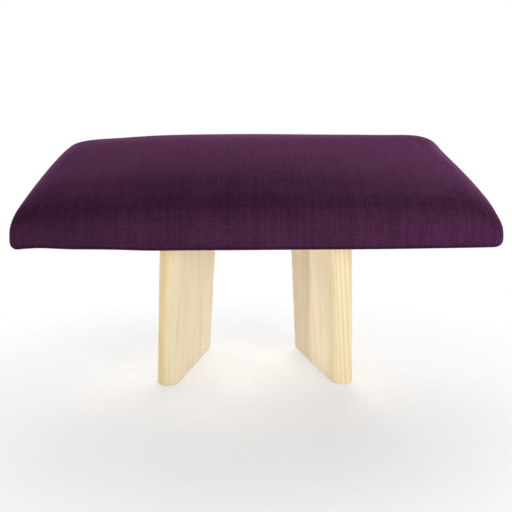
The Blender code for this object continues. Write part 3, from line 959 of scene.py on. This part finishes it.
def leg_section(inset):
    """The board's section, drawn in by inset: two half circles and two flat faces."""
    radius = LEG_THICKNESS / 2 - inset
    middle = (LEG_WIDTH - LEG_THICKNESS) / 2
    points = []
    for end, first_angle in ((middle, 0.0), (-middle, math.pi)):
        for step in range(HALF_ROUND_STEPS):
            angle = first_angle + math.pi * step / HALF_ROUND_STEPS
            points.append((radius * math.cos(angle), end + radius * math.sin(angle)))
        side = -radius * math.cos(first_angle)
        for step in range(FLAT_STEPS):
            points.append((side, end * (1 - 2 * step / FLAT_STEPS)))
    return np.array(points)


def height_on_plane(section, to_leg, point, normal):
    """Where lines along the leg, one through each point of a section, meet a plane of the room."""
    place = to_leg @ point
    across = to_leg.to_3x3() @ normal
    sloped = (section - np.array(place.xy)) @ np.array(across.xy)
    return place.z - sloped / across.z


def leg_rings(to_leg):
    """Rings of a leg from the middle of its foot to the top in its housing."""
    upward = Vector((0, 0, 1))
    floor = Vector((0, 0, 0)), upward
    housing = seat_frame @ (upward * (board_bottom + HOUSING_DEPTH)), lean.to_3x3() @ upward
    made = []
    for step in range(FOOT_STEPS):
        angle = math.pi / 2 * step / FOOT_STEPS
        section = leg_section(FOOT_ROUNDING * (1 - math.sin(angle)))
        heights = height_on_plane(section, to_leg, *floor) + FOOT_ROUNDING * (1 - math.cos(angle))
        made.append(np.column_stack((section, heights)))
    section = leg_section(0.0)
    low = height_on_plane(section, to_leg, *floor) + FOOT_ROUNDING
    high = height_on_plane(section, to_leg, *housing)
    for step in range(LENGTH_STEPS + 1):
        share = step / LENGTH_STEPS
        made.append(np.column_stack((section, low * (1 - share) + high * share)))
    return made


print("points round a leg:", len(leg_section(0.0)))

# %% Loft the two boards
SHARP_FROM = math.radians(35)


def build_leg(name, side):
    """A leg on its side of the seat: -1 is left and 1 is right."""
    place = Matrix.Translation((side * LEG_OFFSET, LEG_SETBACK, board_bottom))
    toe = Matrix.Rotation(side * LEG_TOE, 4, "Z")
    splay = Matrix.Rotation(-side * LEG_SPLAY, 4, "Y")
    leg_frame = seat_frame @ place @ toe @ splay
    made = leg_rings(leg_frame.inverted())
    count = len(made[0])
    faces = [face[::-1] for face in join_rings(len(made), count)]
    faces.append(list(range(count))[::-1])
    faces.append([(len(made) - 1) * count + step for step in range(count)])
    leg = new_piece(name, np.vstack(made), faces)
    leg.data.set_sharp_from_angle(angle=SHARP_FROM)
    board_place = leg.data.attributes.new("board_place", "FLOAT_VECTOR", "POINT")
    board_place.data.foreach_set("vector", np.vstack(made).ravel())
    leg.data.transform(leg_frame)
    return leg


legs = {}
for leg_name, leg_side in (("left_leg", -1), ("right_leg", 1)):
    leg = build_leg(leg_name + "_board", leg_side)
    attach(leg, "root")
    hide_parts(leg_name)
    legs[leg_name] = leg
    solid_low, solid_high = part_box(leg_name)
    points = rows_of(leg.data.vertices, "co")
    off_low = Vector(points.min(axis=0)) - solid_low
    off_high = Vector(points.max(axis=0)) - solid_high
    farthest_off = max(off_low.length, off_high.length)
    print(leg_name, "off the model by at most", round(farthest_off / MM, 2), "mm")

# %% [markdown]
# ## Wood
#
# A board is a slice of a tree, and its lines are the rings of the trunk, cut through. So the group works
# in three dimensions: it measures how far a place lies from the heart of the tree, lets that distance
# wander a little along the trunk, and divides it into rings. The pale early wood fades slowly into the
# darker late wood, which ends sharply. Faces, half-round edges and end grain then agree by themselves.
# Long fibres and short resin flecks are noise, drawn out along the grain. A trunk seldom runs quite along
# the board that is sawn from it, so Slant moves its heart sideways as one goes up.

# %% Build the wood group
BEND_SCALE = 26.0
STREAK_SCALE = 70.0
FLECK_SCALE = 420.0
FIBRE_SCALE = 900.0
FAINTEST_YEAR = 0.3
ACROSS_TRUNK = (1.0, 1.0, 0.0)
LONGER_FIBRES = (1.0, 1.0, 0.3)


def build_wood():
    """Rings round a heart that runs up Z, and fibres that are drawn out by Along Grain."""
    group, given, result = new_group(
        "growth_rings",
        {
            "Place": (0.0, 0.0, 0.0),
            "Heart": (0.07, 0.02, 0.0),
            "Ring Width": 3.4 * MM,
            "Wander": 5.0 * MM,
            "Slant": (0.0, 0.0, 0.0),
            "Along Grain": (1.0, 1.0, 0.12),
        },
        ("Late Wood", "Fibres", "Flecks", "Streaks"),
    )
    drawn_out = vector_step(group, "MULTIPLY", given["Place"], given["Along Grain"])
    bend = calculate(group, "SUBTRACT", noise(group, drawn_out, BEND_SCALE, 3.0, 0.45), 0.5)
    wander = calculate(group, "MULTIPLY", bend, given["Wander"])
    slanted = vector_step(group, "SCALE", given["Slant"], part_of(group, given["Place"], "Z"))
    heart_there = vector_step(group, "ADD", given["Heart"], slanted)
    from_heart = vector_step(group, "SUBTRACT", given["Place"], heart_there)
    distance = vector_step(group, "LENGTH", vector_step(group, "MULTIPLY", from_heart, ACROSS_TRUNK))
    ring_place = calculate(group, "DIVIDE", calculate(group, "ADD", distance, wander), given["Ring Width"])
    year = calculate(group, "FLOOR", ring_place)
    within = calculate(group, "SUBTRACT", ring_place, year)
    darkening = calculate(group, "MULTIPLY", fade(group, within, 0.3, 0.8), fade(group, within, 1.0, 0.85))
    strength = calculate(group, "MULTIPLY_ADD", chance(group, year), 1 - FAINTEST_YEAR, FAINTEST_YEAR)
    fibre_place = vector_step(group, "MULTIPLY", drawn_out, LONGER_FIBRES)
    feed(group, result, {
        "Late Wood": calculate(group, "MULTIPLY", darkening, strength),
        "Fibres": noise(group, fibre_place, FIBRE_SCALE, 3.0, 0.6),
        "Flecks": fade(group, noise(group, fibre_place, FLECK_SCALE, 1.0), 0.66, 0.76),
        "Streaks": noise(group, drawn_out, STREAK_SCALE, 4.0, 0.55),
    })
    return group


wood_group = build_wood()
print("wood group:", len(wood_group.nodes), "nodes")

# %% [markdown]
# ## Pine
#
# The legs are pale, clear pine under a thin matt finish: cream with a breath of pink on the faces, and
# yellower lines where the rings run out on the half-round edges. Each board was cut from another part
# of the tree, so each leg gets its own material with its own heart, ring width and knot, and the left
# one is yellower along one side of its edge.

# %% Choose the pine's colours and how each board was cut
PINE_EDGE = srgb(243, 231, 198)
PINE_FACE = srgb(246, 235, 210)
PINE_PINK = srgb(242, 224, 197)
PINE_YELLOW = srgb(230, 206, 152)
PINE_LATE = srgb(236, 200, 120)
PINE_FLECK = srgb(206, 168, 118)
PINE_KNOT = srgb(190, 146, 98)
PINE_WORN = srgb(252, 243, 228)
PINE_CUTS = {
    "left": {
        "heart": (0.100, 0.030, 0.0), "slant": (0.02, 0.0, 0.0), "ring_width": 6.0 * MM,
        "ring_strength": 0.35, "yellow_strength": 1.0,
        "knot_place": (-0.0085, -0.0665, -0.120), "knot_size": 1.8 * MM,
    },
    "right": {
        "heart": (-0.095, 0.000, 0.0), "slant": (-0.035, 0.0, 0.0), "ring_width": 3.7 * MM,
        "ring_strength": 0.9, "yellow_strength": 0.1,
        "knot_place": (0.011, 0.020, -0.070), "knot_size": 2.4 * MM,
    },
}
for side, cut in PINE_CUTS.items():
    print(side, "board's rings in mm:", round(cut["ring_width"] / MM, 1))

# %% Make the pine of each leg
RINGS_ON_FACE = 0.4
FACE_UP_TO = 52.0 * MM
EDGE_FROM = 64.0 * MM
FIBRE_SHARE = 0.35
FLECK_SHARE = 0.35
KNOT_DRAWN_OUT = (1.0, 1.0, 0.45)
KNOT_CORE = 0.2
KNOT_SHARE = 0.6
WOOD_WORN = 0.5


def make_pine(name, heart, slant, ring_width, ring_strength, yellow_strength, knot_place, knot_size):
    """Pine of one board: its yellow side, rings, fibres, flecks, knot and worn edges, laid on in turn."""
    material, tree, shader = new_material(name)
    place = add_node(tree, "ShaderNodeAttribute", attribute_name="board_place").outputs["Vector"]
    wood = place_group(tree, wood_group, {
        "Place": place, "Heart": heart, "Ring Width": ring_width, "Wander": 3.5 * MM, "Slant": slant,
    })
    wear = place_group(tree, wear_group, {"Place": place, "Patch Scale": 120.0, "Reach": 0.08})
    from_middle = calculate(tree, "ABSOLUTE", part_of(tree, place, "Y"))
    on_face = fade(tree, from_middle, EDGE_FROM, FACE_UP_TO)
    face = blend_colours(tree, fade(tree, wood["Streaks"], 0.40, 0.66), PINE_FACE, PINE_PINK)
    base = blend_colours(tree, on_face, PINE_EDGE, face)
    left_half = fade(tree, part_of(tree, place, "X"), 7.0 * MM, -5.0 * MM, high=yellow_strength)
    left_edge = calculate(tree, "MULTIPLY", left_half, calculate(tree, "SUBTRACT", 1.0, on_face))
    yellow = calculate(tree, "MULTIPLY", left_edge, fade(tree, wood["Streaks"], 0.35, 0.65, 0.75, 1.0))
    warmed = blend_colours(tree, yellow, base, PINE_YELLOW)
    fainter = (RINGS_ON_FACE - 1) * ring_strength
    ring_fade = calculate(tree, "MULTIPLY_ADD", on_face, fainter, ring_strength)
    ringed = lay_over(tree, wood["Late Wood"], ring_fade, warmed, PINE_LATE)
    fibre_share = fade(tree, wood["Fibres"], 0.45, 0.75, high=FIBRE_SHARE)
    fibred = blend_colours(tree, fibre_share, ringed, PINE_PINK)
    flecked = lay_over(tree, wood["Flecks"], FLECK_SHARE, fibred, PINE_FLECK)
    from_knot = vector_step(tree, "SUBTRACT", place, knot_place)
    knot_distance = vector_step(tree, "LENGTH", vector_step(tree, "MULTIPLY", from_knot, KNOT_DRAWN_OUT))
    knot = fade(tree, knot_distance, knot_size, knot_size * KNOT_CORE, high=KNOT_SHARE)
    knotted = blend_colours(tree, knot, flecked, PINE_KNOT)
    worn = lay_over(tree, wear["Edge"], WOOD_WORN, knotted, PINE_WORN)
    roughness = calculate(tree, "MULTIPLY_ADD", wood["Fibres"], 0.18, 0.46)
    relief = calculate(tree, "MULTIPLY_ADD", wood["Late Wood"], 0.5, wood["Fibres"])
    constants = {"Specular IOR Level": 0.35}
    dress(tree, shader, worn, roughness, relief, strength=0.25, depth=0.12 * MM, constants=constants)
    return material


for side, cut in PINE_CUTS.items():
    pine = make_pine(f"pine_{side}", **cut)
    legs[f"{side}_leg"].data.materials.append(pine)
    print(pine.name, "has", len(pine.node_tree.nodes), "nodes")

# %% [markdown]
# ## Plywood and steel
#
# Under the seat the plywood board shows inside the hem, with the staples that hold the cloth. The
# board keeps its shape from the model. Its face veneer is peeled off a log, so its figure is broad and
# wavy, and its edge shows the crossed layers. Screws and staples are zinc plated: grey, slightly streaked
# where the tool held them, and paler on the edges, where the plating has rubbed.

# %% Make the plywood
VENEER_PALE = srgb(226, 200, 160)
VENEER_DARK = srgb(196, 160, 114)
CROSS_LAYER = srgb(166, 126, 84)
PLY_LAYERS = 5
FIGURE_SHARE = 0.5
CROSS_LAYER_SHARE = 0.7
PLY_FLECK_SHARE = 0.5


def make_plywood():
    """Plywood that lies with the seat: its face veneer runs along X and its layers are stacked up Z."""
    material, tree, shader = new_material("board_wood")
    place = add_node(tree, "ShaderNodeTexCoord").outputs["Object"]
    level = vector_step(tree, "SUBTRACT", place, seat_frame.translation)
    turned = add_node(
        tree, "ShaderNodeVectorRotate", {"Vector": level, "Angle": -seat_tilt}, rotation_type="X_AXIS"
    ).outputs[0]
    wood = place_group(tree, wood_group, {
        "Place": turned, "Heart": (0.0, 0.4, 0.0), "Ring Width": 11.0 * MM, "Wander": 60.0 * MM,
        "Along Grain": (0.12, 1.0, 1.0),
    })
    wear = place_group(tree, wear_group, {"Place": turned, "Patch Scale": 45.0, "Reach": 0.08})
    veneer = blend_colours(tree, fade(tree, wood["Streaks"], 0.3, 0.7), VENEER_PALE, VENEER_DARK)
    figured = lay_over(tree, wood["Late Wood"], FIGURE_SHARE, veneer, VENEER_DARK)
    height = calculate(tree, "SUBTRACT", part_of(tree, turned, "Z"), board_bottom)
    layer_thickness = (board_top - board_bottom) / PLY_LAYERS
    layer = calculate(tree, "FLOOR", calculate(tree, "DIVIDE", height, layer_thickness))
    cross_layer = calculate(tree, "FLOORED_MODULO", layer, 2.0)
    layered = lay_over(tree, cross_layer, CROSS_LAYER_SHARE, figured, CROSS_LAYER)
    flecked = lay_over(tree, wood["Flecks"], PLY_FLECK_SHARE, layered, CROSS_LAYER)
    worn = lay_over(tree, wear["Edge"], WOOD_WORN, flecked, VENEER_PALE)
    roughness = fade(tree, wear["Patches"], 0.2, 0.8, 0.55, 0.75)
    dress(tree, shader, worn, roughness, wood["Fibres"], strength=0.3, depth=0.1 * MM)
    return material


plywood = make_plywood()
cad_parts["seat_board"].material_slots[0].material = plywood
print("plywood:", len(plywood.node_tree.nodes), "nodes,", PLY_LAYERS, "layers")

# %% Make the zinc-plated steel
ZINC_PALE = srgb(196, 198, 196)
ZINC_DARK = srgb(168, 172, 174)
ZINC_RUBBED = srgb(222, 221, 214)
STREAK_ALONG = (1.0, 0.15, 1.0)
TOOL_STREAK_SCALE = 2500.0


def make_steel():
    """Zinc-plated steel with fine streaks that run from front to back."""
    material, tree, shader = new_material("zinc_steel")
    place = add_node(tree, "ShaderNodeTexCoord").outputs["Object"]
    wear = place_group(tree, wear_group, {"Place": place, "Patch Scale": 500.0, "Reach": 0.1})
    streaks = noise(tree, vector_step(tree, "MULTIPLY", place, STREAK_ALONG), TOOL_STREAK_SCALE, 2.0)
    plating = blend_colours(tree, fade(tree, wear["Patches"], 0.3, 0.7), ZINC_PALE, ZINC_DARK)
    rubbed = blend_colours(tree, wear["Edge"], plating, ZINC_RUBBED)
    roughness = fade(tree, streaks, 0.3, 0.7, 0.26, 0.44)
    constants = {"Metallic": 1.0}
    dress(tree, shader, rubbed, roughness, streaks, strength=0.2, depth=0.02 * MM, constants=constants)
    return material


zinc_steel = make_steel()
fixings = [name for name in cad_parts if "screw" in name or name.startswith("staple")]
for fixing_name in fixings:
    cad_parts[fixing_name].material_slots[0].material = zinc_steel
print("screws and staples with this finish:", len(fixings))

# %% [markdown]
# ## The studio
#
# The bench stands on a plain white floor under large soft lights: two at the front right, one low and
# one high, two high behind, which bring out the nap of the cloth, and a weak one on each side. A narrow
# one, low at the left, reaches the legs and passes under the cloth. The white that the camera sees comes
# from the floor's and the world's own colour, never from more light on the bench. Close to the bench the
# floor takes its shadow, and further out it fades into the white.

# %% Lay the floor
FLOOR_RADIUS = 6.0
FLOOR_POINTS = 96
FLOOR_HEIGHT = -0.1 * MM
SHADOW_NEAR = 0.14
SHADOW_FAR = 0.42
FLOOR_OWN_WHITE = 0.50
FLOOR_GRAIN_SCALE = 300.0
WHITE = (1.0, 1.0, 1.0, 1.0)

floor_points = [(0.0, 0.0, FLOOR_HEIGHT)]
for step in range(FLOOR_POINTS):
    angle = 2 * math.pi * step / FLOOR_POINTS
    floor_points.append((FLOOR_RADIUS * math.cos(angle), FLOOR_RADIUS * math.sin(angle), FLOOR_HEIGHT))
floor_faces = [[0, step + 1, (step + 1) % FLOOR_POINTS + 1] for step in range(FLOOR_POINTS)]
floor = new_piece("floor", floor_points, floor_faces)


def seen_as_white(tree):
    """1 for rays from the camera, a mirror or glass, and 0 for the rays that light things."""
    path = add_node(tree, "ShaderNodeLightPath").outputs
    seen = calculate(tree, "MAXIMUM", path["Is Camera Ray"], path["Is Glossy Ray"])
    return calculate(tree, "MAXIMUM", seen, path["Is Transmission Ray"])


def mix_shaders(tree, share, first, second, output):
    """Shows the first shader where share is 0 and the second where it is 1."""
    mix = add_node(tree, "ShaderNodeMixShader", {0: share, 1: first.outputs[0], 2: second.outputs[0]})
    feed(tree, output, {"Surface": mix.outputs[0]})


def make_floor():
    """A white floor that takes a shadow near the bench and is plain white further out."""
    material, tree, shader = new_material("studio_floor")
    place = add_node(tree, "ShaderNodeTexCoord").outputs["Object"]
    distance = vector_step(tree, "LENGTH", place)
    far = fade(tree, distance, SHADOW_NEAR, SHADOW_FAR, FLOOR_OWN_WHITE, 1.0)
    tone = fade(tree, noise(tree, place, FLOOR_GRAIN_SCALE, 3.0), 0.2, 0.8, 0.93, 0.96)
    feed(tree, shader, {"Base Color": grey(tree, tone), "Roughness": 0.9, "Specular IOR Level": 0.1})
    white = add_node(tree, "ShaderNodeEmission", {"Color": WHITE, "Strength": 1.0})
    share = calculate(tree, "MULTIPLY", far, seen_as_white(tree))
    mix_shaders(tree, share, shader, white, tree.nodes["Material Output"])
    return material


floor.data.materials.append(make_floor())
floor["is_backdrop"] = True
print("floor radius in m:", FLOOR_RADIUS)

# %% Hang the lights
WORLD_LIGHT = 0.03
SEAT_MIDDLE = (0.0, 0.0, 0.15)
FEET = (0.03, -0.03, 0.02)
LIGHTS = {
    "front_right": ((0.45, -0.8, 0.25), SEAT_MIDDLE, 0.35, 4.6, 180),
    "above_right": ((0.8, -0.5, 0.9), SEAT_MIDDLE, 0.5, 1.7, 180),
    "high_behind": ((0.2, 1.4, 1.3), SEAT_MIDDLE, 1.4, 25.0, 180),
    "left_behind": ((-1.2, 1.0, 1.0), SEAT_MIDDLE, 1.0, 10.0, 180),
    "right_side": ((1.7, 0.1, 0.6), SEAT_MIDDLE, 1.0, 1.8, 180),
    "left_side": ((-1.7, 0.1, 0.6), SEAT_MIDDLE, 1.0, 2.0, 180),
    "at_the_feet": ((-1.15, -0.6, 0.03), FEET, 0.3, 0.17, 20),
}

for light_name, (place, aim, size, power, spread) in LIGHTS.items():
    light_data = bpy.data.lights.new(light_name, "AREA")
    light_data.shape = "DISK"
    light_data.size = size
    light_data.energy = power
    light_data.spread = math.radians(spread)
    light = bpy.data.objects.new(light_name, light_data)
    light.location = place
    light.rotation_euler = (Vector(aim) - Vector(place)).to_track_quat("-Z", "Y").to_euler()
    bpy.context.scene.collection.objects.link(light)

world = bpy.data.worlds.new("studio")
bpy.context.scene.world = world
world.use_nodes = True
world_tree = world.node_tree
world_tree.nodes.clear()
world_output = world_tree.nodes.new("ShaderNodeOutputWorld")
soft_light = add_node(world_tree, "ShaderNodeBackground", {"Color": WHITE, "Strength": WORLD_LIGHT})
plain_white = add_node(world_tree, "ShaderNodeBackground", {"Color": WHITE, "Strength": 1.0})
mix_shaders(world_tree, seen_as_white(world_tree), soft_light, plain_white, world_output)
bpy.context.scene.view_settings.view_transform = "Standard"
print("lights:", ", ".join(LIGHTS))

# %% [markdown]
# ## The dressed bench against the model
#
# Last we compare the dressed bench with the model that it was built over. Cloth may stand a little
# proud of it, and nothing else may.

# %% Compare the two boxes and finish
dressed_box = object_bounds()
before = [*solid_box[0], *solid_box[1]]
after = [*dressed_box[0], *dressed_box[1]]
growth = [round((new - old) / MM, 2) for new, old in zip(after, before)]
print("low and high corners moved by, in mm:", growth)
